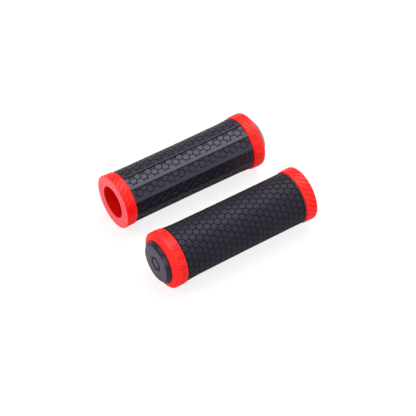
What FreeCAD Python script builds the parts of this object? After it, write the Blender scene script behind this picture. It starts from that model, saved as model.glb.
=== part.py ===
# Pair of slip-on handlebar grips with push-in end plugs.
#
# Millimetres.  +X runs along both grips and +Z is up.  The origin is on the
# surface the grips lie on, midway between them.  The right grip lies on the +Y
# side with its plug towards +X; the left grip, its mirror image, lies on the
# -Y side with its plug towards -X.
#
# Each grip is drawn first in a local frame: the bar's axis is the X axis, the
# open inboard face is at x = 0 and the outboard face is at x = GRIP_LENGTH.
# A turn angle is counted from +Z (the palm side) towards -Y.
import FreeCAD
import Part

import math
import os

Vec = FreeCAD.Vector

# ---- driving dimensions of one grip -----------------------------------------
GRIP_LENGTH = 110.4
BAR_RADIUS = 11.1
SLEEVE_WALL = 1.5
BAR_END_RELIEF = 0.3
RELIEF_PAST_STEM = 2.0
MOUTH_CHAMFER = 0.5

# ribs on the sleeve that key the rubber cover against turning
KEY_COUNT = 6
KEY_WIDTH = 2.0
KEY_HEIGHT = 0.8

# ---- collars ----------------------------------------------------------------
INBOARD_COLLAR_WIDTH = 8.4
INBOARD_COLLAR_RADIUS = 18.4
INBOARD_FACE_FLARE = 0.3
INBOARD_EDGE_ROUND = 0.6
INBOARD_SEAT_DEPTH = 2.5

OUTBOARD_COLLAR_WIDTH = 9.8
OUTBOARD_COLLAR_RADIUS = 19.3
SHOULDER_DROP = 4.0
SHOULDER_LENGTH = 2.0
SHOULDER_CROWN = 0.35
STOP_LIP = 3.5

COVER_SIDE_CHAMFER = 0.9
COVER_SIDE_CHAMFER_DROP = 0.7

# ---- rubber cover -----------------------------------------------------------
COVER_INBOARD_RADIUS = 17.95
COVER_WAIST_RADIUS = 17.85
COVER_OUTBOARD_RADIUS = 18.6
COVER_SHOULDER_RADIUS = 18.1
FLARE_LENGTH = 10.0
FACET_COUNT = 5
FACET_ANGLE = 30.0
FACET_STEP = 0.6

# ---- end plug ---------------------------------------------------------------
PLUG_FLANGE_RADIUS = 14.8
PLUG_BEVEL = 2.15
PLUG_RIM = 0.8
PLUG_THICKNESS = 2.9
PLUG_FLOOR = 2.2
PLUG_SHANK_RADIUS = 9.5
SHANK_CLEARANCE = 0.05
STEM_WALL = 2.0
STEM_LENGTH = 18.0
SHANK_OVERRUN = 0.4
FIN_INSET = 0.2
FIN_HEIGHT = 1.3
FIN_COUNT = 4
FIN_WIDTH = 1.0
FIN_ROOT_GAP = 2.1
FIN_FROM_TIP = 0.8
SLIT_WIDTH = 1.5
SLIT_ROOT_GAP = 1.0
SLIT_OVERRUN = 1.0

# ---- how the pair lies ------------------------------------------------------
AXIS_SPACING = 61.5
LENGTHWISE_OFFSET = 3.0
RIGHT_FINGER_ANGLE = 79.5
LEFT_FINGER_ANGLE = 200.0

# ---- sizes that follow from the driving ones --------------------------------
SLEEVE_RADIUS = BAR_RADIUS + SLEEVE_WALL
RELIEF_RADIUS = BAR_RADIUS + BAR_END_RELIEF
RELIEF_LENGTH = STEM_LENGTH + RELIEF_PAST_STEM
INBOARD_FACE_RADIUS = INBOARD_COLLAR_RADIUS + INBOARD_FACE_FLARE
OUTBOARD_FACE_RADIUS = OUTBOARD_COLLAR_RADIUS - SHOULDER_DROP
LIP_HOLE_RADIUS = PLUG_SHANK_RADIUS + SHANK_CLEARANCE
PLUG_FACE_RADIUS = PLUG_FLANGE_RADIUS - PLUG_BEVEL
FIN_RADIUS = PLUG_SHANK_RADIUS - FIN_INSET
STEM_RADIUS = FIN_RADIUS - FIN_HEIGHT
STEM_BORE_RADIUS = STEM_RADIUS - STEM_WALL
FIN_ROW = STEM_LENGTH - STOP_LIP - SHANK_OVERRUN - FIN_FROM_TIP - FIN_ROOT_GAP
FIN_PITCH = (FIN_ROW - FIN_WIDTH) / (FIN_COUNT - 1)
SLIT_REACH = FIN_RADIUS + SLIT_OVERRUN
COVER_START = INBOARD_COLLAR_WIDTH
COVER_END = GRIP_LENGTH - OUTBOARD_COLLAR_WIDTH
SLEEVE_START = INBOARD_SEAT_DEPTH
SLEEVE_END = GRIP_LENGTH - STOP_LIP
AXIS_HEIGHT = max(OUTBOARD_COLLAR_RADIUS, INBOARD_FACE_RADIUS)
FINGER_CENTRE = 180.0
FIRST_RIDGE = FINGER_CENTRE - FACET_COUNT * FACET_ANGLE / 2
X_AXIS = Vec(1, 0, 0)
ORIGIN = Vec(0, 0, 0)


def around(x, radius, turn):
    """Point at a radius and a turn angle, counted from +Z towards -Y."""
    angle = math.radians(turn)
    return Vec(x, -radius * math.sin(angle), radius * math.cos(angle))


def line(start, end):
    return Part.LineSegment(start, end).toShape()


def arc(start, middle, end):
    return Part.Arc(start, middle, end).toShape()


def turned(edges):
    """Solid of revolution of a closed chain of edges in the XZ plane."""
    face = Part.Face(Part.Wire(edges))
    return face.revolve(ORIGIN, X_AXIS, 360)


def chain(points):
    """Straight edges through (x, radius) points, not closed."""
    corners = [Vec(x, 0, radius) for x, radius in points]
    return [line(a, b) for a, b in zip(corners, corners[1:])]


def tube(start, end, inner, outer):
    """Plain round tube along the bar's axis."""
    solid = Part.makeCylinder(outer, end - start, Vec(start, 0, 0), X_AXIS)
    hole = Part.makeCylinder(inner, end - start, Vec(start, 0, 0), X_AXIS)
    return solid.cut(hole)


# ---- core sleeve ------------------------------------------------------------
def key_bars(start, end):
    """Bars that stand for the key ribs, reaching from the axis outwards."""
    reach = SLEEVE_RADIUS + KEY_HEIGHT
    size = (end - start, KEY_WIDTH, reach)
    bars = []
    for index in range(KEY_COUNT):
        bar = Part.makeBox(*size, Vec(start, -KEY_WIDTH / 2, 0))
        bar.rotate(ORIGIN, X_AXIS, index * 360 / KEY_COUNT)
        bars.append(bar)
    return bars[0].multiFuse(bars[1:])


def core_sleeve():
    """Liner that slides over the bar; its ends seat inside both collars."""
    shell = Part.makeCylinder(
        SLEEVE_RADIUS, SLEEVE_END - SLEEVE_START, Vec(SLEEVE_START, 0, 0), X_AXIS)
    keyed = shell.fuse(key_bars(COVER_START, COVER_END))
    bore_end = GRIP_LENGTH - RELIEF_LENGTH
    bore = Part.makeCylinder(BAR_RADIUS, GRIP_LENGTH, ORIGIN, X_AXIS)
    relief = Part.makeCylinder(
        RELIEF_RADIUS, RELIEF_LENGTH, Vec(bore_end, 0, 0), X_AXIS)
    return keyed.cut(bore).cut(relief).removeSplitter()


# ---- collars ----------------------------------------------------------------
def inboard_collar():
    """Open end ring: flat face, bar mouth, and a seat for the sleeve's end."""
    rounding = INBOARD_EDGE_ROUND
    side = rounding * (1 - math.sqrt(0.5))
    face_edge = Vec(0, 0, INBOARD_FACE_RADIUS - rounding)
    outer_edge = Vec(rounding, 0, INBOARD_FACE_RADIUS)
    crown = Vec(side, 0, INBOARD_FACE_RADIUS - side)
    chamfer_start = COVER_START - COVER_SIDE_CHAMFER
    cover_side = INBOARD_COLLAR_RADIUS - COVER_SIDE_CHAMFER_DROP
    edges = [arc(face_edge, crown, outer_edge)]
    edges += chain([
        (rounding, INBOARD_FACE_RADIUS),
        (chamfer_start, INBOARD_COLLAR_RADIUS),
        (COVER_START, cover_side),
        (COVER_START, SLEEVE_RADIUS),
        (SLEEVE_START, SLEEVE_RADIUS),
        (SLEEVE_START, BAR_RADIUS),
        (MOUTH_CHAMFER, BAR_RADIUS),
        (0, BAR_RADIUS + MOUTH_CHAMFER),
        (0, INBOARD_FACE_RADIUS - rounding),
    ])
    return turned(edges)


def outboard_collar():
    """Closed end ring: crowned shoulder, and a lip that stops the bar."""
    shoulder_start = GRIP_LENGTH - SHOULDER_LENGTH
    chamfer_end = COVER_END + COVER_SIDE_CHAMFER
    cover_side = OUTBOARD_COLLAR_RADIUS - COVER_SIDE_CHAMFER_DROP
    shoulder = Vec(shoulder_start, 0, OUTBOARD_COLLAR_RADIUS)
    face_edge = Vec(GRIP_LENGTH, 0, OUTBOARD_FACE_RADIUS)
    chord = face_edge - shoulder
    outward = Vec(-chord.z, 0, chord.x).normalize()
    crown = shoulder + chord * 0.5 + outward * SHOULDER_CROWN
    edges = [arc(shoulder, crown, face_edge)]
    edges += chain([
        (GRIP_LENGTH, OUTBOARD_FACE_RADIUS),
        (GRIP_LENGTH, LIP_HOLE_RADIUS),
        (SLEEVE_END, LIP_HOLE_RADIUS),
        (SLEEVE_END, SLEEVE_RADIUS),
        (COVER_END, SLEEVE_RADIUS),
        (COVER_END, cover_side),
        (chamfer_end, OUTBOARD_COLLAR_RADIUS),
        (shoulder_start, OUTBOARD_COLLAR_RADIUS),
    ])
    return turned(edges)


# ---- rubber cover -----------------------------------------------------------
def cover_section(x, radius):
    """Outline of the cover at x: a round palm side and stepped finger facets."""
    last_ridge = FIRST_RIDGE + FACET_COUNT * FACET_ANGLE
    palm_middle = FINGER_CENTRE + 180.0
    palm_end = FIRST_RIDGE + 360.0
    edges = [arc(around(x, radius, last_ridge),
                 around(x, radius, palm_middle),
                 around(x, radius, palm_end))]
    for index in range(FACET_COUNT):
        ridge = FIRST_RIDGE + index * FACET_ANGLE
        outer = around(x, radius, ridge)
        foot = around(x, radius - FACET_STEP, ridge)
        next_outer = around(x, radius, ridge + FACET_ANGLE)
        edges.append(line(outer, foot))
        edges.append(line(foot, next_outer))
    return Part.Wire(edges)


def grip_cover():
    """Black rubber cover between the collars, flared a little at both ends."""
    middle = (COVER_START + COVER_END) / 2
    sections = [
        cover_section(COVER_START, COVER_INBOARD_RADIUS),
        cover_section(COVER_START + FLARE_LENGTH, COVER_WAIST_RADIUS),
        cover_section(middle, COVER_WAIST_RADIUS),
        cover_section(COVER_END - FLARE_LENGTH, COVER_SHOULDER_RADIUS),
        cover_section(COVER_END, COVER_OUTBOARD_RADIUS),
    ]
    solid = Part.makeLoft(sections, True, True)
    hole = Part.makeCylinder(
        SLEEVE_RADIUS, COVER_END - COVER_START, Vec(COVER_START, 0, 0), X_AXIS)
    return solid.cut(hole.fuse(key_bars(COVER_START, COVER_END)))


# ---- end plug ---------------------------------------------------------------
def plug_outline():
    """Half outline of the plug, from the face's centre round to the blind bore."""
    tip = GRIP_LENGTH - STEM_LENGTH
    face = GRIP_LENGTH + PLUG_THICKNESS
    floor = face - PLUG_FLOOR
    shank_end = SLEEVE_END - SHANK_OVERRUN
    points = [
        (face, 0),
        (face, PLUG_FACE_RADIUS),
        (GRIP_LENGTH + PLUG_RIM, PLUG_FLANGE_RADIUS),
        (GRIP_LENGTH, PLUG_FLANGE_RADIUS),
        (GRIP_LENGTH, PLUG_SHANK_RADIUS),
        (shank_end, PLUG_SHANK_RADIUS),
        (shank_end, STEM_RADIUS),
    ]
    for index in reversed(range(FIN_COUNT)):
        start = tip + FIN_FROM_TIP + index * FIN_PITCH
        end = start + FIN_WIDTH
        points += [(end, STEM_RADIUS), (end, FIN_RADIUS)]
        points += [(start, FIN_RADIUS), (start, STEM_RADIUS)]
    points += [(tip, STEM_RADIUS), (tip, STEM_BORE_RADIUS), (floor, STEM_BORE_RADIUS), (floor, 0)]
    points.append(points[0])
    return points


def end_plug():
    """Push-in plug: bevelled flange, and a hollow slit stem with ring fins."""
    body = turned(chain(plug_outline()))
    tip = GRIP_LENGTH - STEM_LENGTH
    slit_end = SLEEVE_END - SHANK_OVERRUN - SLIT_ROOT_GAP
    start = tip - SLIT_OVERRUN
    length = slit_end - start
    half = SLIT_WIDTH / 2
    upright = Part.makeBox(length, SLIT_WIDTH, 2 * SLIT_REACH, Vec(start, -half, -SLIT_REACH))
    level = Part.makeBox(length, 2 * SLIT_REACH, SLIT_WIDTH, Vec(start, -SLIT_REACH, -half))
    return body.cut(upright.fuse(level))


# ---- placing the pair -------------------------------------------------------
def place_right(shape):
    """Roll the grip about its axis and lay it on the +Y side."""
    placed = shape.copy()
    placed.rotate(ORIGIN, X_AXIS, RIGHT_FINGER_ANGLE - FINGER_CENTRE)
    shift = LENGTHWISE_OFFSET / 2 - GRIP_LENGTH / 2
    placed.translate(Vec(shift, AXIS_SPACING / 2, AXIS_HEIGHT))
    return placed


def place_left(shape):
    """Mirror the grip, roll it palm side up and lay it on the -Y side."""
    placed = shape.mirror(ORIGIN, X_AXIS)
    placed.rotate(ORIGIN, X_AXIS, LEFT_FINGER_ANGLE - FINGER_CENTRE)
    shift = GRIP_LENGTH / 2 - LENGTHWISE_OFFSET / 2
    placed.translate(Vec(shift, -AXIS_SPACING / 2, AXIS_HEIGHT))
    return placed


PIECES = {
    "core_sleeve": core_sleeve,
    "inboard_collar": inboard_collar,
    "outboard_collar": outboard_collar,
    "grip_cover": grip_cover,
    "end_plug": end_plug,
}
SIDES = {"right": place_right, "left": place_left}


def only_solid(shape):
    """The single solid inside a shape that a boolean may have wrapped."""
    solids = shape.Solids
    if len(solids) != 1:
        raise ValueError("a piece came out as %d solids" % len(solids))
    return solids[0]


def main():
    os.makedirs("parts", exist_ok=True)
    for piece, make in PIECES.items():
        drawn = make()
        for side, place in SIDES.items():
            name = side + "_" + piece
            solid = only_solid(place(drawn))
            solid.exportStep("parts/" + name + ".step")
            box = solid.optimalBoundingBox(False, False)
            print("%-24s volume %9.1f mm3, x %7.2f to %7.2f, z %6.2f to %6.2f, valid %s" % (
                name, solid.Volume, box.XMin, box.XMax, box.ZMin, box.ZMax, solid.isValid()))


main()
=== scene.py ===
# %% [markdown]
# # A pair of handlebar grips, finished over a fixed frame
# The construction of these grips (sizes, fits and joints) is already settled in a
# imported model. This lesson loads that model, then builds the finished surface of each
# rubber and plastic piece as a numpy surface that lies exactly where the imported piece
# lies. Everything is in metres: +X runs along the grips and +Z is up.

# %% Load the frame
import math

import bpy
import numpy as np
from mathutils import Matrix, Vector


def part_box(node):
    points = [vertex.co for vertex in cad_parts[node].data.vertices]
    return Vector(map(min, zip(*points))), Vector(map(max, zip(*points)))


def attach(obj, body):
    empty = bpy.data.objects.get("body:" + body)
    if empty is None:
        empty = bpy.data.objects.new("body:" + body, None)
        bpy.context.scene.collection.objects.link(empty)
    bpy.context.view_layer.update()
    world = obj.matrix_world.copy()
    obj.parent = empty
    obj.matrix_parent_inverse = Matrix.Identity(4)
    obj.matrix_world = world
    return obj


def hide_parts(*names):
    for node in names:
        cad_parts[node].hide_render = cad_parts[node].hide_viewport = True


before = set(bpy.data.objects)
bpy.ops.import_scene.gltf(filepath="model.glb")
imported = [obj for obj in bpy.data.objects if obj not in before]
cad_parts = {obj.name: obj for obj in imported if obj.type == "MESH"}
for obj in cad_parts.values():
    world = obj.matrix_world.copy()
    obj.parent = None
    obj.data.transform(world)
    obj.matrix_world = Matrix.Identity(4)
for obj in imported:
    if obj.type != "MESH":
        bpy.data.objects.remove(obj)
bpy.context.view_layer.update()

MM = 0.001

# %% [markdown]
# ## Where each grip lies
# Both grips share one local way of counting. `s` is the distance along the bar's axis
# from the open inboard face, and `turn` is the angle from straight up towards -Y. The
# left grip is the mirror image of the right one, so its `s` runs towards -X. All of it
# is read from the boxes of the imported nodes, so nothing has to be fitted by hand.

# %% One record per grip
FIRST_RIDGE = {"right": 4.5, "left": 125.0}
PATTERN_START = {"right": 5.0 * MM, "left": 3.9 * MM}
PATTERN_LINE = {"right": 12, "left": 10}


def grip_record(side):
    """Axis, direction and end positions of one grip, read from the frame."""
    collar_low, collar_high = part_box(side + "_outboard_collar")
    inner_low, inner_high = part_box(side + "_inboard_collar")
    cover_low, cover_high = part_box(side + "_grip_cover")
    plug_low, plug_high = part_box(side + "_end_plug")
    direction = 1 if side == "right" else -1
    face = inner_low.x if direction > 0 else inner_high.x
    span = (lambda low, high: (low.x - face, high.x - face)) if direction > 0 else (
        lambda low, high: (face - high.x, face - low.x))
    middle = (collar_low + collar_high) / 2
    return {
        "side": side, "direction": direction, "face": face,
        "y": middle.y, "z": middle.z,
        "cover": span(cover_low, cover_high),
        "outboard": span(collar_low, collar_high),
        "inboard": span(inner_low, inner_high),
        "plug": span(plug_low, plug_high),
        "outboard_radius": (collar_high.z - collar_low.z) / 2,
        "inboard_radius": (inner_high.z - inner_low.z) / 2,
        "ridge": math.radians(FIRST_RIDGE[side]),
    }


grips = [grip_record(side) for side in ("right", "left")]
for grip in grips:
    print(grip["side"], "axis at y, z:", round(grip["y"] / MM, 2), round(grip["z"] / MM, 2),
          "cover from", round(grip["cover"][0] / MM, 2), "to", round(grip["cover"][1] / MM, 2))

# %% [markdown]
# ## From numbers to a mesh
# Each surface is worked out as whole arrays: positions along the axis, radii and turn
# angles. One function turns them into points in space, and one writes points and faces
# into a mesh. `from_pydata` takes both as lists, so no Python loop ever walks over the
# vertices.

# %% Place points and write meshes
def place(grip, s, radius, turn):
    """Points in space: x = face + direction * s, y = axis - r sin(turn), z = axis + r cos(turn)."""
    s, radius, turn = np.broadcast_arrays(s, radius, turn)
    x = grip["face"] + grip["direction"] * s
    y = grip["y"] - radius * np.sin(turn)
    z = grip["z"] + radius * np.cos(turn)
    return np.stack([x, y, z], axis=-1)


def write_mesh(name, grip, points, faces, sharp_angle=30.0):
    """A smooth-shaded mesh object; the mirrored grip has its faces turned round."""
    if grip["direction"] < 0:
        faces = [part[:, ::-1] for part in faces]
    mesh = bpy.data.meshes.new(name)
    polygons = [row for part in faces for row in part.tolist()]
    mesh.from_pydata(points.reshape(-1, 3).tolist(), [], polygons)
    mesh.shade_smooth()
    mesh.set_sharp_from_angle(angle=math.radians(sharp_angle))
    mesh.validate()
    piece = bpy.data.objects.new(name, mesh)
    bpy.context.scene.collection.objects.link(piece)
    print(name, "has", len(mesh.vertices), "points and", len(mesh.polygons), "faces")
    return piece


def ring_faces(rows, columns, closed_rows=False):
    """Quads of a grid that closes around its columns, and around its rows if asked."""
    row_count = rows if closed_rows else rows - 1
    i, j = np.meshgrid(np.arange(row_count), np.arange(columns), indexing="ij")
    nxt = (i + 1) % rows
    side = (j + 1) % columns
    quads = np.stack([i * columns + j, i * columns + side, nxt * columns + side, nxt * columns + j], -1)
    return quads.reshape(-1, 4)


def point_attribute(piece, name, values):
    """Stores one number per point on the mesh, for the material to read."""
    attribute = piece.data.attributes.new(name, "FLOAT", "POINT")
    attribute.data.foreach_set("value", np.asarray(values, np.float32).ravel())


# %% [markdown]
# ## The rubber cover: hexagon tiles and stepped facets
# The cover is a moulded rubber skin. Its palm side is round and covered in hexagon
# tiles; its finger side has five flat facets, each stepped down a little from the one
# before it, where the tiles fade into a smooth band along the facet's lower edge.
# A square grid would cut the slanted hexagon edges into stairs, and modelling every
# tile as its own block would leave hundreds of loose shells. A triangular grid solves
# both: hexagon edges run along its own lines, so one continuous skin holds the crisp
# grooves, the flat facets and the ridges.

# %% The triangular grid
LINES_PER_TILE = 14
HALF_TILE = LINES_PER_TILE // 2
TILES_AROUND = 24
FACETS = 5
LINES_PER_FACET = 2 * LINES_PER_TILE
LINES_AROUND = LINES_PER_TILE * TILES_AROUND
TILE_COLUMN = 1.5 * HALF_TILE
LINE_RISE = math.sqrt(0.75)
GRID_STEP = 0.389 * MM
FACET_STEP = 0.6 * MM
GROOVE_DEPTH = 0.45 * MM
FOOT_GROOVE_DEPTH = 0.30 * MM
FOOT_GROOVE_LINES = 2.0
BAND_LINES = 3
BAND_START = 0.78
BAND_FADE = 0.07
PALM_FADE_LINES = 3.0
END_MARGIN = 0.25
FLARE_LENGTH = 10.0 * MM
SLEEVE_RADIUS = 12.6 * MM


def cad_radii(grip):
    """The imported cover's radius at its five stations; it runs straight between them."""
    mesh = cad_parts[grip["side"] + "_grip_cover"].data
    points = np.empty(len(mesh.vertices) * 3, np.float32)
    mesh.vertices.foreach_get("co", points)
    points = points.reshape(-1, 3).astype(float)
    s = (points[:, 0] - grip["face"]) * grip["direction"]
    radius = np.hypot(points[:, 1] - grip["y"], points[:, 2] - grip["z"])
    start, end = grip["cover"]
    stations = np.array([start, start + FLARE_LENGTH, (start + end) / 2, end - FLARE_LENGTH, end])
    near = np.abs(s[None, :] - stations[:, None]) < 0.05 * MM
    return stations, np.where(near, radius, 0).max(axis=1)


def grid_rows():
    """Line number and step flag of each row around the cover; a ridge has two rows."""
    lines = np.arange(LINES_AROUND)
    ridge = (lines % LINES_PER_FACET == 0) & (lines < FACETS * LINES_PER_FACET)
    counts = np.where(ridge, 2, 1)
    rows = np.repeat(lines, counts)
    foot = np.zeros(len(rows), bool)
    foot[1:] = rows[1:] == rows[:-1]
    return rows, foot


rows, foot = grid_rows()
print(len(rows), "rows around the cover,", int(foot.sum()), "of them at the foot of a step")

# %% Distance to the nearest tile's edge
def tile_distance(u, line, first_line):
    """Hexagon distance from the nearest tile's centre, in grid lines.

    A tile's edges lie at 7 lines. Centres lie 10.5 steps apart along the axis and 14
    lines apart around it, every second column shifted by 7 lines. The distance is the
    largest of the three projections on the hexagon's edge normals.
    """
    best = np.full(u.shape, np.inf)
    du_best, dv_best = np.zeros(u.shape), np.zeros(u.shape)
    base = np.floor(u / TILE_COLUMN)
    for near in (0, 1):
        column = base + near
        shift = first_line + HALF_TILE * (column % 2)
        row = np.round((line - shift) / LINES_PER_TILE)
        du = u - column * TILE_COLUMN
        dv = line - shift - row * LINES_PER_TILE
        distance = np.maximum(np.abs(dv), np.maximum(np.abs(dv / 2 + du), np.abs(dv / 2 - du)))
        closer = distance < best
        best = np.where(closer, distance, best)
        du_best = np.where(closer, du, du_best)
        dv_best = np.where(closer, dv, dv_best)
    return best, du_best, dv_best


RING_AT = np.arange(8.0)
RING_MOVED = np.array([0.0, 1.2, 2.45, 3.75, 5.0, 6.05, 6.5, 7.0])
STEEP_SIDE = np.array([1.0, 1.0, 1.0, 1.0, 0.98, 0.90, 0.06, 0.0])
GENTLE_SIDE = np.array([1.0, 1.0, 1.0, 0.98, 0.94, 0.82, 0.45, 0.0])
# STEEP_SHADE and GENTLE_SHADE: painted shade in the grooves, darkest along each tile's steep edge
STEEP_SHADE = np.array([1.0, 1.0, 1.0, 1.0, 1.0, 0.92, 0.0, 0.05])
GENTLE_SHADE = np.array([1.0, 1.0, 1.0, 1.0, 1.0, 1.0, 0.70, 0.05])
TILE_LEAN = 0.16
print("a groove is", round(2 * (7 - RING_MOVED[5]) * LINE_RISE * GRID_STEP / MM, 2), "mm wide at its top")

# %% The cover's skin
def facet_share(line):
    """Whether a line is on a facet, and how far it lies from its upper ridge to its lower one."""
    on_facet = line < FACETS * LINES_PER_FACET
    return on_facet, (line % LINES_PER_FACET) / LINES_PER_FACET


def chord_radius(share, upper, lower):
    """Radius on a straight chord from radius `upper` to `lower` across one facet's angle."""
    width = math.radians(360.0 * LINES_PER_FACET / LINES_AROUND)
    a = share * width
    # the line through both ends, in polar form: r = r0 r1 sin(w) / (r0 sin(a) + r1 sin(w - a))
    return upper * lower * math.sin(width) / (upper * np.sin(a) + lower * np.sin(width - a))


def fade_to_band(line, foot):
    """Groove depth share: full on tiles, none on the smooth band above each ridge."""
    on_facet, share = facet_share(line)
    palm_left = LINES_AROUND - line
    palm_passed = line - FACETS * LINES_PER_FACET
    facet_fade = np.clip((BAND_START - share) / BAND_FADE, 0, 1)
    palm_fade = np.clip(palm_left - BAND_LINES, 0, 1) * np.clip(palm_passed / PALM_FADE_LINES, 0, 1)
    at_ridge_top = (line % LINES_PER_FACET == 0) & (line <= FACETS * LINES_PER_FACET) & ~foot
    return np.where(at_ridge_top, 0.0, np.where(on_facet, facet_fade, palm_fade))


def foot_groove(line, foot):
    """1 in the narrow groove at the foot of each step, 0 two lines further down."""
    on_facet, share = facet_share(line)
    below = 1 - share * LINES_PER_FACET / FOOT_GROOVE_LINES
    at_ridge_top = (share == 0) & ~foot
    return np.where(on_facet & ~at_ridge_top, np.clip(below, 0, 1), 0.0)


# %% Where the skin's points lie
def skin_grid(columns):
    """Column and line number of every point; odd rows start half a step further on."""
    u = np.arange(columns + 1)[None, :] + 0.5 * (rows % 2)[:, None]
    u[:, 0] = 0.0
    u = np.minimum(u, columns)
    line = np.broadcast_to(rows[:, None], u.shape).astype(float)
    return u, line, np.broadcast_to(foot[:, None], u.shape)


def gather_rings(u, line, columns, distance, du, dv):
    """Moves each tile's rings towards its edge, so that the grooves get steep walls.

    A point moves along the line from its tile's centre: new = centre + (old - centre)
    * moved / distance. Points near a ridge or on an end of the cover move less or not
    at all.
    """
    moved = np.interp(distance, RING_AT, RING_MOVED)
    stretch = moved / np.maximum(distance, 1e-9) - 1
    to_ridge = np.abs((line + LINES_PER_FACET / 2) % LINES_PER_FACET - LINES_PER_FACET / 2)
    facet_side = line <= FACETS * LINES_PER_FACET
    inside = (u > 0) & (u < columns)
    calm = np.where(facet_side, np.clip(to_ridge / 2, 0, 1), 1.0) * inside
    new_u = np.where(inside, np.clip(u + du * stretch * calm, END_MARGIN, columns - END_MARGIN), u)
    return new_u, line + dv * stretch * calm


def tile_relief(distance, dv):
    """Height and shade of the pattern: 1 on top of a tile, 0 in the groove around it.

    Each tile is a scale: steep on the side of rising turn, gentle and lower on the other.
    """
    steep = dv > 0
    wall = np.where(steep, np.interp(distance, RING_AT, STEEP_SIDE),
                    np.interp(distance, RING_AT, GENTLE_SIDE))
    shade = np.where(steep, np.interp(distance, RING_AT, STEEP_SHADE),
                     np.interp(distance, RING_AT, GENTLE_SHADE))
    return wall * (1 - TILE_LEAN * (0.5 - dv / LINES_PER_TILE)), shade


# %% How the skin's points are joined
def cover_faces(columns):
    """Triangles of the skin, slanted by turns, then quads round both ends and the bore."""
    row_count, column_count = len(rows), columns + 1
    i, j = np.meshgrid(np.arange(row_count), np.arange(columns), indexing="ij")
    below = (i + 1) % row_count
    a, b = i * column_count + j, i * column_count + j + 1
    c, d = below * column_count + j + 1, below * column_count + j
    even = np.broadcast_to((rows % 2 == 0)[:, None], i.shape).ravel()
    a, b, c, d = (k.ravel() for k in (a, b, c, d))
    first = np.where(even[:, None], np.stack([a, d, b], 1), np.stack([a, d, c], 1))
    second = np.where(even[:, None], np.stack([b, d, c], 1), np.stack([a, c, b], 1))
    count = row_count * column_count
    k = np.arange(row_count)
    n = (k + 1) % row_count
    inner_a, inner_b = count + 2 * k, count + 2 * k + 1
    inner_an, inner_bn = count + 2 * n, count + 2 * n + 1
    outer_a, outer_b = k * column_count, k * column_count + columns
    outer_an, outer_bn = n * column_count, n * column_count + columns
    rings = np.concatenate([
        np.stack([inner_a, inner_an, outer_an, outer_a], 1),
        np.stack([outer_b, outer_bn, inner_bn, inner_b], 1),
        np.stack([inner_b, inner_bn, inner_an, inner_a], 1),
    ])
    return [np.concatenate([first, second]), rings]


# %% The covers
def cover_piece(grip):
    """The whole cover as one closed skin: patterned outside, plain bore and end rings.

    Radius = plain radius - groove depth * fade * (1 - height) - foot groove depth.
    """
    start, end = grip["cover"]
    columns = int(round((end - start) / GRID_STEP))
    step = (end - start) / columns
    stations, widest = cad_radii(grip)
    print("cover radii in mm:", np.round(widest / MM, 2))
    u, line, foot_grid = skin_grid(columns)
    origin = np.round(PATTERN_START[grip["side"]] / step)
    distance, du, dv = tile_distance(u - origin, line, PATTERN_LINE[grip["side"]])
    new_u, new_line = gather_rings(u, line, columns, distance, du, dv)

    s = start + new_u * step
    turn = grip["ridge"] + new_line * 2 * math.pi / LINES_AROUND
    full = np.interp(s, stations, widest)
    at_top = (line % LINES_PER_FACET == 0) & ~foot_grid
    flat = (line < FACETS * LINES_PER_FACET) & ~at_top
    share = np.where(foot_grid, 0.0, (new_line % LINES_PER_FACET) / LINES_PER_FACET)
    plain_radius = np.where(flat, chord_radius(share, full - FACET_STEP, full), full)
    height, shade = tile_relief(distance, dv)
    fade = fade_to_band(line, foot_grid)
    at_foot = foot_groove(line, foot_grid)
    radius = plain_radius - GROOVE_DEPTH * fade * (1 - height) - FOOT_GROOVE_DEPTH * at_foot
    skin = place(grip, s, radius, turn)
    bore = place(grip, s[:, [0, -1]], SLEEVE_RADIUS, turn[:, [0, -1]])
    points = np.concatenate([skin.reshape(-1, 3), bore.reshape(-1, 3)])
    piece = write_mesh(grip["side"] + "_rubber_cover", grip, points, cover_faces(columns), 32.0)

    # relief: low in the tile grooves and the foot groove, where the material paints the rubber darker, as
    # painted shade
    relief = np.minimum(1 - fade * (1 - shade), 1 - at_foot)
    plain = np.ones(bore.size // 3)
    point_attribute(piece, "relief", np.concatenate([relief.ravel(), plain]))
    smoother = flat | (line > LINES_AROUND - BAND_LINES - 0.5) | at_top & (line == 0)
    point_attribute(piece, "finger", np.concatenate([smoother.astype(float).ravel(), 0 * plain]))
    return piece


covers = {grip["side"]: cover_piece(grip) for grip in grips}

# %% [markdown]
# ## The red collars
# A collar is a turned ring, so its section is one closed outline carried round the
# axis. The inboard collar also has thirty diagonal grooves. They could be cut
# with a boolean, but it is cleaner to lean the ring's columns at the grooves' own angle
# and press the columns between two groove edges inwards: the walls then follow the
# mesh exactly. The lean turns the opposite way on the mirrored grip by itself.

# %% Carry a closed outline round the axis
def smooth_step(x):
    """0 below 0, 1 above 1, and 3x^2 - 2x^3 between."""
    x = np.clip(x, 0, 1)
    return x * x * (3 - 2 * x)


def rounded_outline(corners, steps=5):
    """Points of a closed outline whose corners are (s, radius, rounding) triples.

    Each rounded corner is a quadratic curve from one tangent point to the other, with
    the corner itself as its middle control point.
    """
    corners = np.array(corners, float)
    before = np.roll(corners, 1, axis=0)
    after = np.roll(corners, -1, axis=0)
    here = corners[:, :2]
    toward_before = before[:, :2] - here
    toward_after = after[:, :2] - here
    reach = corners[:, 2:3]
    start = here + toward_before / np.linalg.norm(toward_before, axis=1, keepdims=True) * reach
    end = here + toward_after / np.linalg.norm(toward_after, axis=1, keepdims=True) * reach
    t = np.linspace(0, 1, steps)[None, :, None]
    curve = (1 - t) ** 2 * start[:, None] + 2 * t * (1 - t) * here[:, None] + t ** 2 * end[:, None]
    return curve.reshape(-1, 2)


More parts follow.
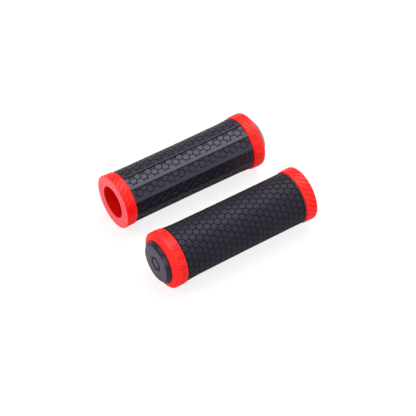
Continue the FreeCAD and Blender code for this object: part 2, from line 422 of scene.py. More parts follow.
def subdivide_outline(points, longest, fine_above=1.0, finest=0.2 * MM):
    """Adds points on a closed outline so that no stretch is longer than `longest`.

    Stretches that lie beyond the radius `fine_above` are cut to `finest` instead.
    """
    closed = np.vstack([points, points[:1]])
    lengths = np.linalg.norm(np.diff(closed, axis=0), axis=1)
    limits = np.where(np.minimum(closed[1:, 1], closed[:-1, 1]) > fine_above, finest, longest)
    counts = np.maximum(1, np.ceil(lengths / limits).astype(int))
    along = np.concatenate([[0], np.cumsum(lengths)])
    starts = np.repeat(along[:-1], counts)
    shares = np.concatenate([np.arange(n) / n for n in counts])
    at = starts + shares * np.repeat(lengths, counts)
    at = at[np.concatenate([[True], np.diff(at) > 1e-7])]
    return np.stack([np.interp(at, along, closed[:, k]) for k in (0, 1)], 1)


def ring_piece(name, grip, outline, turns, press, sink=0.0, lean=0.0, sharp=35.0):
    """A closed ring: the outline's points at every turn angle.

    `press` says how far each point is pressed towards the axis, and `sink` how far it
    is pushed along it. Attributes say how deep each point lies and which are in the bore.
    """
    s = outline[:, :1]
    radius = outline[:, 1:]
    angle = turns[None, :] + lean * s
    depth = press(s, radius, turns)
    points = place(grip, s + sink, radius - depth, angle)
    faces = ring_faces(len(outline), len(turns), closed_rows=True)
    piece = write_mesh(name, grip, points, [faces], sharp)
    # relief: how deep each point is pressed; the red material paints the pressed parts darker from it, as
    # painted shade
    point_attribute(piece, "relief", 1 - (depth + sink) / COLLAR_GROOVE_DEPTH)
    in_bore = smooth_step((BAR_RADIUS + 0.55 * MM - outline[:, 1]) / (0.3 * MM))
    point_attribute(piece, "bore", np.repeat(in_bore, len(turns)))
    return piece


# %% The inboard collars, with diagonal grooves
COLLAR_GROOVES = 30
MARK_GROUPS = ((72, 27), (258, 45))
MARK_INNER_RADIUS = 13.2 * MM
MARK_OUTER_RADIUS = 15.0 * MM
MARK_EXTRA = 0.7 * MM
MARK_DEPTH = 0.25 * MM
COLLAR_GROOVE_DEPTH = 0.4 * MM
COLLAR_GROOVE_ANGLE = 39.0
BAR_RADIUS = 11.1 * MM
GROOVE_COLUMNS = np.array([-0.5, -0.34, -0.2, -0.115, -0.085, -0.045, 0.045, 0.085, 0.115, 0.2, 0.34])
GROOVE_SHAPE = np.array([0, 0, 0, 0, 0.45, 1, 1, 0.45, 0, 0, 0])
FACE_MARK_SHAPE = np.array([0, 0, 0, 1, 1, 1, 1, 1, 1, 0, 0])


def inboard_outline(grip):
    """Section of the open end ring, from its outer face edge round to the bar's mouth."""
    start, end = grip["inboard"]
    face = grip["inboard_radius"]
    side = face - 0.3 * MM
    return rounded_outline([
        (start, BAR_RADIUS + 0.35 * MM, 0.3 * MM),
        (start, face, 0.8 * MM),
        (end - 1.0 * MM, side, 0.3 * MM),
        (end - 0.2 * MM, side - 0.95 * MM, 0.1 * MM),
        (end, side - 0.95 * MM, 0.05 * MM),
        (end, SLEEVE_RADIUS, 0.05 * MM),
        (start + 2.5 * MM, SLEEVE_RADIUS, 0.05 * MM),
        (start + 2.5 * MM, BAR_RADIUS, 0.05 * MM),
        (start + 0.5 * MM, BAR_RADIUS, 0.15 * MM),
    ])


def groove_press(grip):
    """Depth of the diagonal grooves: the groove's shape around, times soft ends along."""
    start, end = grip["inboard"]

    def press(s, radius, turns):
        shape = np.tile(GROOVE_SHAPE, COLLAR_GROOVES)[None, :]
        from_face = smooth_step((s - start - 0.75 * MM) / (0.5 * MM))
        from_cover = smooth_step((end - 1.7 * MM - s) / (0.6 * MM))
        outside = (radius > grip["inboard_radius"] - 1.2 * MM) & (s > start + 0.5 * MM)
        return COLLAR_GROOVE_DEPTH * shape * from_face * from_cover * outside
    return press


def face_marks(grip, outline, turns):
    """Short sunk marks on the flat mouth face, in two groups, every second one longer."""
    radius = outline[:, 1:]
    on_face = outline[:, :1] < grip["inboard"][0] + 0.01 * MM
    degrees = np.degrees(turns)
    beside = np.any([np.abs(degrees - middle) < reach for middle, reach in MARK_GROUPS], axis=0)
    longer = np.repeat(np.arange(COLLAR_GROOVES) % 2, len(GROOVE_COLUMNS))
    outer = MARK_OUTER_RADIUS + MARK_EXTRA * longer
    inner_end = smooth_step((radius - MARK_INNER_RADIUS) / (0.3 * MM))
    outer_end = smooth_step((outer - radius) / (0.3 * MM))
    shape = np.tile(FACE_MARK_SHAPE, COLLAR_GROOVES)
    return MARK_DEPTH * on_face * beside * inner_end * outer_end * shape


def inboard_collar(grip):
    """The open end ring with its leaning grooves."""
    pitch = 2 * math.pi / COLLAR_GROOVES
    turns = ((np.arange(COLLAR_GROOVES)[:, None] + GROOVE_COLUMNS[None, :]) * pitch).ravel()
    lean = -math.tan(math.radians(COLLAR_GROOVE_ANGLE)) / grip["inboard_radius"]
    outline = subdivide_outline(inboard_outline(grip), 0.25 * MM)
    piece = ring_piece(grip["side"] + "_open_collar", grip, outline, turns,
                       groove_press(grip), face_marks(grip, outline, turns), lean, 30.0)
    on_face = 1 - smooth_step((outline[:, 0] - grip["inboard"][0] - 0.1 * MM) / (0.25 * MM))
    point_attribute(piece, "face", np.repeat(on_face, len(turns)))
    return piece


open_collars = {grip["side"]: inboard_collar(grip) for grip in grips}

# %% [markdown]
# ## The outboard collars and their number scale
# The outer end ring is wider, with a crowned shoulder. Here it carries a plain scale of
# sunk numbers, by which both grips could be turned to the same mark. Blender's text could be
# wrapped round a ring and cut in with a boolean, which leaves ragged walls. Here each
# figure is a few straight strokes instead: the ring's points that lie near a stroke are
# pressed inwards, and the section is finer where the numbers are.

# %% Plain figures for a scale
STROKES = {
    "a": ((0, 2), (1, 2)), "b": ((1, 1), (1, 2)), "c": ((1, 0), (1, 1)), "d": ((0, 0), (1, 0)),
    "e": ((0, 0), (0, 1)), "f": ((0, 1), (0, 2)), "g": ((0, 1), (1, 1)),
}
FIGURES = ("abcdef", "bc", "abdeg", "abcdg", "bcfg", "acdfg", "acdefg", "abc", "abcdefg", "abcdfg")
FIGURE_HEIGHT = 3.2 * MM
FIGURE_WIDTH = 1.75 * MM
FIGURE_PITCH = 3.0 * MM
FIGURE_STROKE = 0.56 * MM
FIGURE_DEPTH = 0.32 * MM
SCALE_NUMBERS = 18
SCALE_STEP = 5
SCALE_START = 0.35
SCALE_FOOT = 4.7 * MM


def stroke_distance(across, up, start, end):
    """Distance from points to the straight stroke from `start` to `end`."""
    start, end = np.array(start, float), np.array(end, float)
    cell = np.array([FIGURE_WIDTH, FIGURE_HEIGHT / 2])
    start, along = start * cell, (end - start) * cell
    share = np.clip(((across - start[0]) * along[0] + (up - start[1]) * along[1]) / (along @ along), 0, 1)
    return np.hypot(across - start[0] - share * along[0], up - start[1] - share * along[1])


def figure_marks(across, up, number):
    """Distance to the strokes of a two-figure number whose middle is at across = 0."""
    best = np.full(np.broadcast(across, up).shape, np.inf)
    for place_of, figure in enumerate((number // 10, number % 10)):
        left = (place_of - 0.5) * FIGURE_PITCH - FIGURE_WIDTH / 2
        for stroke in FIGURES[figure]:
            best = np.minimum(best, stroke_distance(across - left, up, *STROKES[stroke]))
    return best


# %% The outboard collars, with a crowned shoulder and a number scale
LIP_HOLE_RADIUS = 9.55 * MM
SHOULDER_DROP = 4.0 * MM
COLLAR_COLUMNS = 576


def outboard_outline(grip):
    """Section of the closed end ring, from its flat end round to the bar stop's hole."""
    start, end = grip["outboard"]
    top = grip["outboard_radius"]
    return rounded_outline([
        (start, SLEEVE_RADIUS, 0.05 * MM),
        (start, top - 0.95 * MM, 0.05 * MM),
        (start + 0.35 * MM, top - 0.3 * MM, 0.25 * MM),
        (start + 1.0 * MM, top - 0.12 * MM, 0.3 * MM),
        (start + 5.6 * MM, top, 0.8 * MM),
        (end - 1.9 * MM, top - 0.05 * MM, 0.6 * MM),
        (end - 0.65 * MM, top - 1.55 * MM, 0.8 * MM),
        (end, top - SHOULDER_DROP, 0.4 * MM),
        (end, LIP_HOLE_RADIUS, 0.2 * MM),
        (end - 3.5 * MM, LIP_HOLE_RADIUS, 0.1 * MM),
        (end - 3.5 * MM, SLEEVE_RADIUS, 0.05 * MM),
    ])


def number_press(grip):
    """Depth of the sunk numbers: full within half a stroke of a figure, none beyond it."""
    foot = grip["outboard"][0] + SCALE_FOOT
    top = grip["outboard_radius"]

    def press(s, radius, turns):
        depth = np.zeros((len(s), len(turns)))
        for index in range(SCALE_NUMBERS):
            middle = 2 * math.pi * (index + SCALE_START) / SCALE_NUMBERS
            swing = (turns - middle + math.pi) % (2 * math.pi) - math.pi
            across = -grip["direction"] * swing[None, :] * top
            distance = figure_marks(across, foot - s, SCALE_STEP * index)
            inked = smooth_step((FIGURE_STROKE / 2 + 0.1 * MM - distance) / (0.14 * MM))
            depth = np.maximum(depth, FIGURE_DEPTH * inked)
        return depth * (radius > top - 0.3 * MM)
    return press


def outboard_collar(grip):
    """The closed end ring with its sunk numbers."""
    turns = np.arange(COLLAR_COLUMNS) * 2 * math.pi / COLLAR_COLUMNS
    outline = subdivide_outline(outboard_outline(grip), 0.6 * MM, grip["outboard_radius"] - 0.3 * MM)
    return ring_piece(grip["side"] + "_closed_collar", grip, outline, turns, number_press(grip))


closed_collars = {grip["side"]: outboard_collar(grip) for grip in grips}

# %% [markdown]
# ## The end plugs
# The plug is one moulding: a bevelled flange that shows, and a hollow stem with ring
# fins that doesn't. The flange and stem are turned shapes, so one outline makes both.
# Only the four slits that let the stem spring inwards and the plain hexagon sunk into
# the face break the symmetry. Both are cut with booleans, which are then applied: two
# crossed slabs make the slits, and a hexagonal ring makes the outline.

# %% Turn a plug
PLUG_COLUMNS = 192
PLUG_RIM_RADIUS = 14.8 * MM
PLUG_FACE_RADIUS = 12.65 * MM
SHANK_RADIUS = 9.5 * MM
STEM_RADIUS = 8.0 * MM
STEM_BORE_RADIUS = 6.0 * MM
FIN_RADIUS = 9.3 * MM
FIN_COUNT = 4
FIN_PITCH = 3.4 * MM
HEXAGON_DEPTH = 0.4 * MM
HEXAGON_INNER_RADIUS = 3.5 * MM
HEXAGON_OUTER_RADIUS = 5.7 * MM


def solid_of_turn(name, grip, outline, columns):
    """A closed solid from an outline whose ends lie on the axis; each end is one point."""
    turns = np.arange(columns) * 2 * math.pi / columns
    body = place(grip, outline[1:-1, :1], outline[1:-1, 1:], turns[None, :])
    rows_used = len(outline) - 2
    poles = place(grip, outline[[0, -1], 0], 0.0, 0.0)
    points = np.concatenate([body.reshape(-1, 3), poles])
    first, last = rows_used * columns, rows_used * columns + 1
    j = np.arange(columns)
    side = (j + 1) % columns
    head = np.stack([np.full(columns, first), side, j], 1)
    tail_row = (rows_used - 1) * columns
    tail = np.stack([np.full(columns, last), tail_row + j, tail_row + side], 1)
    return write_mesh(name, grip, points, [ring_faces(rows_used, columns), head, tail], 35.0)


def plug_outline(grip):
    """From the centre of the face, over the flange, down the fins and up the blind bore."""
    flange, top = grip["outboard"][1], grip["plug"][1]
    tip = grip["plug"][0]
    rim, face = PLUG_RIM_RADIUS, PLUG_FACE_RADIUS
    shank, stem, bore, fin = SHANK_RADIUS, STEM_RADIUS, STEM_BORE_RADIUS, FIN_RADIUS
    corners = [
        (top, face, 0.25 * MM),
        (flange + 0.8 * MM, rim, 0.3 * MM),
        (flange, rim, 0.15 * MM),
        (flange, shank, 0.1 * MM),
        (flange - 3.9 * MM, shank, 0.1 * MM),
        (flange - 3.9 * MM, stem, 0.2 * MM),
    ]
    for index in reversed(range(FIN_COUNT)):
        start = tip + 0.8 * MM + FIN_PITCH * index
        corners += [(start + 1.0 * MM, stem, 0.15 * MM), (start + 1.0 * MM, fin, 0.2 * MM),
                    (start, fin, 0.2 * MM), (start, stem, 0.15 * MM)]
    corners += [(tip, stem, 0.2 * MM), (tip, bore, 0.2 * MM), (top - 2.2 * MM, bore, 0.5 * MM)]
    curve = rounded_outline(corners + [(top - 2.2 * MM, 0.0, 0.0), (top, 0.0, 0.0)], 4)
    keep = np.concatenate([[True], np.linalg.norm(np.diff(curve, axis=0), axis=1) > 1e-7])
    curve = curve[keep]
    centre = np.array([[top, 0.0]])
    return np.vstack([centre, curve[curve[:, 1] > 1e-6], [[top - 2.2 * MM, 0.0]]])


def slit_cutter(grip):
    """Two crossed slabs along the axis, as one mesh of two boxes."""
    tip, flange = grip["plug"][0], grip["outboard"][1]
    corners = np.array([[i, j, k] for i in (0, 1) for j in (-1, 1) for k in (-1, 1)], float)
    s = np.where(corners[:, :1] > 0, flange - 4.9 * MM, tip - 1 * MM)
    quads = np.array([[0, 1, 3, 2], [4, 6, 7, 5], [0, 4, 5, 1], [2, 3, 7, 6], [0, 2, 6, 4], [1, 5, 7, 3]])
    slabs = []
    for across, up in ((0.75 * MM, 10.3 * MM), (10.3 * MM, 0.75 * MM)):
        x = grip["face"] + grip["direction"] * s
        y = grip["y"] + corners[:, 1:2] * across
        z = grip["z"] + corners[:, 2:3] * up
        slabs.append(np.hstack([x, y, z]))
    return write_mesh("slit_cutter", grip, np.vstack(slabs), [quads, quads + 8])


def hexagon_cutter(grip):
    """A hexagonal ring that sinks a plain outline into the plug's face."""
    top = grip["plug"][1]
    section = np.array([(-HEXAGON_DEPTH, HEXAGON_INNER_RADIUS), (-HEXAGON_DEPTH, HEXAGON_OUTER_RADIUS),
                        (0.5 * MM, HEXAGON_OUTER_RADIUS), (0.5 * MM, HEXAGON_INNER_RADIUS)])
    points = place(grip, top + section[:, :1], section[:, 1:], (np.arange(6) * math.pi / 3)[None, :])
    return write_mesh("hexagon_cutter", grip, points, [ring_faces(4, 6, closed_rows=True)])


def apply_modifiers(piece):
    """Replaces a piece's mesh by its finished one and drops the modifiers."""
    graph = bpy.context.evaluated_depsgraph_get()
    finished = bpy.data.meshes.new_from_object(piece.evaluated_get(graph))
    piece.modifiers.clear()
    piece.data = finished


def end_plug(grip):
    """One plug with its stem slit in four and a plain hexagon sunk into its face."""
    piece = solid_of_turn(grip["side"] + "_push_plug", grip, plug_outline(grip), PLUG_COLUMNS)
    cutters = [slit_cutter(grip), hexagon_cutter(grip)]
    for cutter in cutters:
        cut = piece.modifiers.new(cutter.name, "BOOLEAN")
        cut.operation, cut.solver, cut.use_self, cut.object = "DIFFERENCE", "EXACT", True, cutter
    bpy.context.view_layer.update()
    apply_modifiers(piece)
    for cutter in cutters:
        bpy.data.objects.remove(cutter)
    piece.data.set_sharp_from_angle(angle=math.radians(35))
    return piece


plugs = {grip["side"]: end_plug(grip) for grip in grips}

# %% [markdown]
# ## Finishes
# Three kinds of finish cover everything: red rubber, black rubber and black plastic.
# Two effects are shared, so each is a node group that is built once: the fine moulded
# grain, and the shade that gathers in grooves. Groups put out only masks and heights;
# each material keeps its own shader, with plain numbers set on the shader itself.

# %% Helpers for nodes
def node_group(name, inputs, outputs):
    """An empty shader group with named float sockets, and its two end nodes."""
    group = bpy.data.node_groups.new(name, "ShaderNodeTree")
    for socket, value in inputs.items():
        made = group.interface.new_socket(socket, in_out="INPUT", socket_type="NodeSocketFloat")
        made.default_value = value
    for socket in outputs:
        group.interface.new_socket(socket, in_out="OUTPUT", socket_type="NodeSocketFloat")
    return group, group.nodes.new("NodeGroupInput"), group.nodes.new("NodeGroupOutput")


def math_node(tree, operation, a, b=None, clamp=False):
    """A Math node; a and b are sockets or plain numbers."""
    node = tree.nodes.new("ShaderNodeMath")
    node.operation, node.use_clamp = operation, clamp
    for socket, value in zip(node.inputs, (a, b)):
        if isinstance(value, (int, float)):
            socket.default_value = value
        elif value is not None:
            tree.links.new(value, socket)
    return node.outputs[0]


def noise_node(tree, vector, scale, detail=3.0):
    """Noise between 0 and 1; scale is a socket or a number, per metre."""
    node = tree.nodes.new("ShaderNodeTexNoise")
    node.inputs["Detail"].default_value = detail
    tree.links.new(vector, node.inputs["Vector"])
    if isinstance(scale, (int, float)):
        node.inputs["Scale"].default_value = scale
    else:
        tree.links.new(scale, node.inputs["Scale"])
    return node.outputs["Fac"]


def ramp_value(tree, value, low, high, to_low=0.0, to_high=1.0):
    """Maps low..high to to_low..to_high, held at both ends."""
    node = tree.nodes.new("ShaderNodeMapRange")
    node.clamp = True
    tree.links.new(value, node.inputs["Value"])
    for socket, number in zip(("From Min", "From Max", "To Min", "To Max"), (low, high, to_low, to_high)):
        node.inputs[socket].default_value = number
    return node.outputs["Result"]


def mix_colour(tree, factor, first, second):
    """Blends two colours; each is a socket or a plain (r, g, b)."""
    node = tree.nodes.new("ShaderNodeMix")
    node.data_type = "RGBA"
    tree.links.new(factor, node.inputs["Factor"])
    for socket, value in ((node.inputs["A"], first), (node.inputs["B"], second)):
        if isinstance(value, tuple):
            socket.default_value = (*value, 1.0)
        else:
            tree.links.new(value, socket)
    return node.outputs["Result"]


# %% The shared grain
def build_grain():
    """Fine moulded grain: height for a bump, and slow mottling for colour and gloss."""
    group, given, result = node_group("moulded_grain", {"Grain per metre": 2500.0}, ["Height", "Mottle"])
    where = group.nodes.new("ShaderNodeTexCoord").outputs["Object"]
    fine = noise_node(group, where, given.outputs["Grain per metre"], 4.0)
    coarse_scale = math_node(group, "MULTIPLY", given.outputs["Grain per metre"], 0.3)
    coarse = noise_node(group, where, coarse_scale, 2.0)
    height = math_node(group, "ADD", math_node(group, "MULTIPLY", fine, 0.7),
                       math_node(group, "MULTIPLY", coarse, 0.3))
    slow = noise_node(group, where, 70.0, 4.0)
    group.links.new(height, result.inputs["Height"])
    group.links.new(ramp_value(group, slow, 0.35, 0.65), result.inputs["Mottle"])
    return group


grain_group = build_grain()

# %% The shared groove shade
def build_groove_shade():
    """1 deep in a pressed groove and 0 on the open surface, from the mesh's own relief."""
    group, given, result = node_group("groove_shade", {"Softness": 0.6}, ["Groove"])
    relief = group.nodes.new("ShaderNodeAttribute")
    relief.attribute_name = "relief"
    depth = math_node(group, "SUBTRACT", 1.0, relief.outputs["Fac"], clamp=True)
    groove = math_node(group, "DIVIDE", depth, given.outputs["Softness"], clamp=True)
    group.links.new(groove, result.inputs["Groove"])
    return group


groove_group = build_groove_shade()


def add_group(tree, group, **values):
    """Places a node group in a material, with its own input values."""
    node = tree.nodes.new("ShaderNodeGroup")
    node.node_tree = group
    for name, value in values.items():
        node.inputs[name.replace("_", " ")].default_value = value
    return node


def read_attribute(tree, name):
    """One of the numbers that were stored on the mesh."""
    node = tree.nodes.new("ShaderNodeAttribute")
    node.attribute_name = name
    return node.outputs["Fac"]


def new_material(name, roughness, specular=0.5):
    """A material with its default tree, its shader and a Bump node already joined."""
    material = bpy.data.materials.new(name)
    material.use_nodes = True
    tree = material.node_tree
    shader = tree.nodes["Principled BSDF"]
    shader.inputs["Roughness"].default_value = roughness
    shader.inputs["Specular IOR Level"].default_value = specular
    bump = tree.nodes.new("ShaderNodeBump")
    tree.links.new(bump.outputs["Normal"], shader.inputs["Normal"])
    return material, tree, shader, bump


# %% [markdown]
# ## Red rubber
# The collars are moulded in a neon red whose shaded sides stay almost as bright as
# its lit ones. Plain red paint would turn brown there. A low Emission is painted light
# that keeps them red; it is weaker in the grooves and in the bore, as painted shade there.

# %% Red rubber
def red_rubber(name, with_marks, glow):
    """Satin neon-red rubber.

    A low Emission, painted light, keeps its shaded sides a full red.
    Grooves get a deeper colour and less glow, and the bore less glow: painted shade. The flat mouth face
    is painted paler: a painted sheen.
    """
    material, tree, shader, bump = new_material(name, 0.46)
    grain = add_group(tree, grain_group, Grain_per_metre=3200.0)
    colour = mix_colour(tree, grain.outputs["Mottle"], (0.82, 0.002, 0.001), (0.76, 0.002, 0.001))
    rough = ramp_value(tree, grain.outputs["Mottle"], 0, 1, 0.42, 0.48)
    # painted glow: Emission that keeps the red's shaded sides bright, painted light
    painted_glow_colour = (1.0, 0.0, 0.0)
    if with_marks:
        face, bore = read_attribute(tree, "face"), read_attribute(tree, "bore")
        # painted sheen: the flat mouth face is painted a paler pink
        colour = mix_colour(tree, face, colour, (0.93, 0.125, 0.145))
        shade = add_group(tree, groove_group, Softness=0.7)
        # painted shade: grooves and sunk marks get a darker colour and glow, and the bore glows less
        colour = mix_colour(tree, shade.outputs["Groove"], colour, (0.50, 0.0, 0.0))
        painted_glow_colour = mix_colour(tree, bore, painted_glow_colour, (0.09, 0.0, 0.0))
        painted_glow_colour = mix_colour(tree, shade.outputs["Groove"], painted_glow_colour, (0.50, 0.0, 0.0))
        tree.links.new(painted_glow_colour, shader.inputs["Emission Color"])
    tree.links.new(colour, shader.inputs["Base Color"])
    tree.links.new(rough, shader.inputs["Roughness"])
    shader.inputs["Specular Tint"].default_value = (1.0, 0.82, 0.74, 1)
    shader.inputs["Emission Color"].default_value = (1.0, 0.0, 0.0, 1)
    shader.inputs["Emission Strength"].default_value = glow
    tree.links.new(grain.outputs["Height"], bump.inputs["Height"])
    bump.inputs["Strength"].default_value = 0.12
    bump.inputs["Distance"].default_value = 0.05 * MM
    return material


# the last number is the strength of the painted glow
red_collar_finish = red_rubber("red_rubber_collars", True, 0.31)
red_sleeve_finish = red_rubber("red_rubber_sleeves", False, 0.02)
print("red finishes:", red_collar_finish.name, "and", red_sleeve_finish.name)

# %% [markdown]
# ## Black rubber
# Black rubber is never quite black. Its own colour is a very dark violet-grey, and most
# of what the eye sees on it is a soft sheen. The mottling moves the roughness a little
# as well as the colour, the smooth bands on the finger side are glossier, and grooves
# are duller and painted darker, as painted shade. The left cover is a copy painted
# in shade: a little darker and less glossy than the right.

# %% Black rubber
def black_rubber(name, light, dark, specular):
    """Black tread rubber: matt, faintly violet-grey, painted darker in the grooves as painted shade.

    `light` and `dark` are the two ends of its mottling.
    """
    material, tree, shader, bump = new_material(name, 0.55, specular)
    grain = add_group(tree, grain_group, Grain_per_metre=2600.0)
    shade = add_group(tree, groove_group, Softness=0.7)
    colour = mix_colour(tree, grain.outputs["Mottle"], light, dark)
    # painted shade: the grooves' colour is darkened
    colour = mix_colour(tree, shade.outputs["Groove"], colour, (0.0036, 0.0032, 0.0050))
    tree.links.new(colour, shader.inputs["Base Color"])
    finger = read_attribute(tree, "finger")
    rough = math_node(tree, "SUBTRACT", ramp_value(tree, grain.outputs["Mottle"], 0, 1, 0.50, 0.56),
                      math_node(tree, "MULTIPLY", finger, 0.17))
    duller = math_node(tree, "MULTIPLY", shade.outputs["Groove"], 0.4)
    rough = math_node(tree, "ADD", rough, duller, clamp=True)
    tree.links.new(rough, shader.inputs["Roughness"])
    shader.inputs["Specular Tint"].default_value = (0.85, 0.82, 1.0, 1)
    tree.links.new(grain.outputs["Height"], bump.inputs["Height"])
    bump.inputs["Strength"].default_value = 0.25
    bump.inputs["Distance"].default_value = 0.06 * MM
    return material


# The left cover is a shaded copy of the right one: darker colours and a weaker specular, painted shade.
black_rubber_finishes = {
    "right": black_rubber("black_rubber_right", (0.0106, 0.0092, 0.0172), (0.0088, 0.0076, 0.0144), 0.52),
    "left": black_rubber("black_rubber_left_shaded", (0.0074, 0.0065, 0.0130), (0.0060, 0.0053, 0.0108), 0.39),
}
print("black rubbers:", [finish.name for finish in black_rubber_finishes.values()])

# %% [markdown]
# ## Black plastic
# The plug is hard plastic from a mould. Its flat face was grained to hide scratches, so
# it is matt, and its colour is painted paler as a painted sheen, while the bevel was left
# smooth and keeps a dark colour. One material does both: an attribute on the mesh says
# where the bevel is, so the change falls exactly on its edge.

# %% Black plastic
def black_plastic():
    """Moulded black plastic: a grained face painted paler as a painted sheen, and a smoother, darker
    bevel.
    """
    material, tree, shader, bump = new_material("black_plastic", 0.4)
    grain = add_group(tree, grain_group, Grain_per_metre=4200.0)
    polish_and_sheen = read_attribute(tree, "polish_and_sheen")
    # painted sheen: the face's pale violet-grey colour; the bevel gets the plastic's own dark colour
    colour = mix_colour(tree, grain.outputs["Mottle"], (0.102, 0.087, 0.118), (0.086, 0.074, 0.100))
    colour = mix_colour(tree, polish_and_sheen, colour, (0.007, 0.006, 0.014))
    colour = mix_colour(tree, read_attribute(tree, "sunk"), colour, (0.001, 0.001, 0.002))
    tree.links.new(colour, shader.inputs["Base Color"])
    rough = ramp_value(tree, polish_and_sheen, 0, 1, 0.50, 0.24)
    tree.links.new(rough, shader.inputs["Roughness"])
    shader.inputs["Specular Tint"].default_value = (0.80, 0.74, 1.0, 1)
    tree.links.new(grain.outputs["Height"], bump.inputs["Height"])
    bump.inputs["Strength"].default_value = 0.15
    bump.inputs["Distance"].default_value = 0.04 * MM
    return material


black_plastic_finish = black_plastic()

# %% Polish of the plug's parts
def mark_polish(grip, piece):
    """Stores "polish", 1 on the flange's bevel and rim, and "sunk", 1 on the hexagon's floor."""
    points = np.empty(len(piece.data.vertices) * 3, np.float32)
    piece.data.vertices.foreach_get("co", points)
    points = points.reshape(-1, 3)
    radius = np.hypot(points[:, 1] - grip["y"], points[:, 2] - grip["z"])
    # 1 on the polished bevel and rim; 0 on the face, whose colour is painted paler as a painted sheen
    point_attribute(piece, "polish_and_sheen", smooth_step((radius - PLUG_FACE_RADIUS + 0.2 * MM) / (0.3 * MM)))
    depth = grip["plug"][1] - (points[:, 0] - grip["face"]) * grip["direction"]
    sunk = (radius < 6 * MM) & (depth > HEXAGON_DEPTH / 2) & (depth < 1.5 * HEXAGON_DEPTH)
    point_attribute(piece, "sunk", sunk)
    print(piece.name, "has", int(sunk.sum()), "points on the hexagon's floor")


for grip in grips:
    mark_polish(grip, plugs[grip["side"]])

# %% [markdown]
# ## Ride, replace and put on the finish
# Each new piece rides on the imported body it belongs to and stands for its imported node.
# The core sleeves are plain tubes whose imported shape is already right, so they stay and
# only get the red finish.

# %% Hand the pieces to the frame
def hand_over(piece, body, node, finish):
    """Rides, replaces and puts on the finish."""
    piece.data.materials.clear()
    piece.data.materials.append(finish)
    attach(piece, body)
    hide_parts(node)


for grip in grips:
    side = grip["side"]
    body = side + "_grip"
    hand_over(covers[side], body, side + "_grip_cover", black_rubber_finishes[side])
    hand_over(open_collars[side], body, side + "_inboard_collar", red_collar_finish)
    hand_over(closed_collars[side], body, side + "_outboard_collar", red_collar_finish)
    hand_over(plugs[side], side + "_end_plug", side + "_end_plug", black_plastic_finish)
    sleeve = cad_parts[side + "_core_sleeve"]
    sleeve.data.materials.clear()
    sleeve.data.materials.append(red_sleeve_finish)

# %% [markdown]
# ## Floor, light and camera
# The grips lie on a plain pale floor under one large soft light overhead, with three
# soft panels at the left and in front, and a weak light from the room all round. A
# black, rounded thing shows little colour of its own: what is seen on it is mostly the
# floor and the lights reflected, so all of them are kept large and even.

# %% Floor
BACKWARD = (0.557, 0.830)
FLOOR_THROWN = (0.53, 0.53, 0.55)
FLOOR_LIGHT_POOL = (1.0, 1.0, 1.0)
FLOOR_SEEN = (0.24, 0.24, 0.24)
FLOOR_GLOW = (0.80, 0.80, 0.80)
FLOOR_LIGHT_POOL_RAMP = (0.052, 0.11)


def pale_floor():
    """A floor that looks white, yet throws only a little light back up at the grips.

    The camera's own rays meet a bright floor with faint shadows; every other ray meets
    a darker one, a mid grey with a painted pool of light that brightens it behind the grips.
    """
    material, tree, shader = new_material("pale_floor", 0.9, 0.1)[:3]
    rays = tree.nodes.new("ShaderNodeLightPath").outputs["Is Camera Ray"]
    parts = tree.nodes.new("ShaderNodeSeparateXYZ")
    tree.links.new(tree.nodes.new("ShaderNodeTexCoord").outputs["Object"], parts.inputs["Vector"])
    along_x = math_node(tree, "MULTIPLY", parts.outputs["X"], BACKWARD[0])
    behind = math_node(tree, "ADD", along_x, math_node(tree, "MULTIPLY", parts.outputs["Y"], BACKWARD[1]))
    # painted pool of light: the floor the grips see brightens from mid grey to white behind them
    thrown = mix_colour(tree, ramp_value(tree, behind, *FLOOR_LIGHT_POOL_RAMP), FLOOR_THROWN, FLOOR_LIGHT_POOL)
    colour = mix_colour(tree, rays, thrown, FLOOR_SEEN)
    glow = mix_colour(tree, rays, (0.0, 0.0, 0.0), FLOOR_GLOW)
    tree.links.new(colour, shader.inputs["Base Color"])
    tree.links.new(glow, shader.inputs["Emission Color"])
    shader.inputs["Emission Strength"].default_value = 1.0
    return material


bpy.ops.mesh.primitive_plane_add(size=6.0, location=(0, 0, 0))
floor = bpy.context.object
floor.name = "floor"
floor.data.materials.append(pale_floor())
print("floor with", floor.data.materials[0].name)

# %% Light
ROOM_LIGHT = 0.62
world = bpy.data.worlds.new("room")
bpy.context.scene.world = world
world.use_nodes = True
world.node_tree.nodes["Background"].inputs["Color"].default_value = (1, 1, 1, 1)
world.node_tree.nodes["Background"].inputs["Strength"].default_value = ROOM_LIGHT


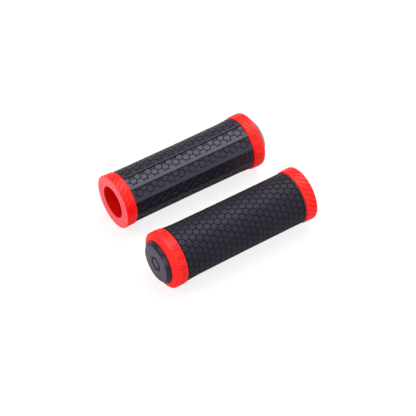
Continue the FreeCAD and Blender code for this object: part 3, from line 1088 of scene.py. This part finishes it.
def soft_light(name, place_at, aim_at, size, brightness):
    """A square area light that looks from one point to another.

    Its power is brightness * pi * area, so `brightness` is what a mirror would show.
    """
    lamp = bpy.data.lights.new(name, "AREA")
    lamp.shape, lamp.size = "SQUARE", size
    lamp.energy = brightness * math.pi * size * size
    holder = bpy.data.objects.new(name, lamp)
    holder.location = place_at
    holder.rotation_euler = (Vector(aim_at) - Vector(place_at)).to_track_quat("-Z", "Y").to_euler()
    bpy.context.scene.collection.objects.link(holder)
    print(name, "light of", round(lamp.energy, 2), "W")


soft_light("overhead", (0.28, 0.10, 0.72), (0, 0, 0), 0.62, 3.5)
soft_light("left_softbox", (-0.62, 0.20, 0.60), (0, 0, 0.02), 0.45, 2.0)
soft_light("front_panel", (0.36, -0.72, 0.46), (0, 0, 0.02), 0.62, 1.0)
soft_light("left_panel", (-0.84, -0.26, 0.15), (0, 0, 0.02), 0.40, 2.2)

# %% [markdown]
# ## The camera
# A long lens from about a metre away keeps the two grips almost free of perspective, as
# a catalogue view does. The camera is placed by a turn, a height and a distance from the
# point it looks at, which is easier to think about than three coordinates.

# %% Camera
CAMERA_TURN = math.radians(-33.85)
CAMERA_HEIGHT = math.radians(46.1)
CAMERA_DISTANCE = 1.0569
LOOK_AT = Vector((-0.00285, -0.00355, 0.00034))
back = Vector((math.sin(CAMERA_TURN) * math.cos(CAMERA_HEIGHT),
               -math.cos(CAMERA_TURN) * math.cos(CAMERA_HEIGHT),
               math.sin(CAMERA_HEIGHT)))
camera = bpy.data.objects.new("camera", bpy.data.cameras.new("camera"))
camera.location = LOOK_AT + back * CAMERA_DISTANCE
camera.rotation_mode = "QUATERNION"
camera.rotation_quaternion = (-back).to_track_quat("-Z", "Y")
camera.data.lens = 138.03
camera.data.sensor_width = 36.0
camera.data.shift_x, camera.data.shift_y = 0.0039, 0.0351
camera.data.clip_start, camera.data.clip_end = 0.05, 20.0
bpy.context.scene.collection.objects.link(camera)
bpy.context.scene.camera = camera
bpy.context.scene.view_settings.view_transform = "Standard"
print("camera at", [round(v, 3) for v in camera.location])
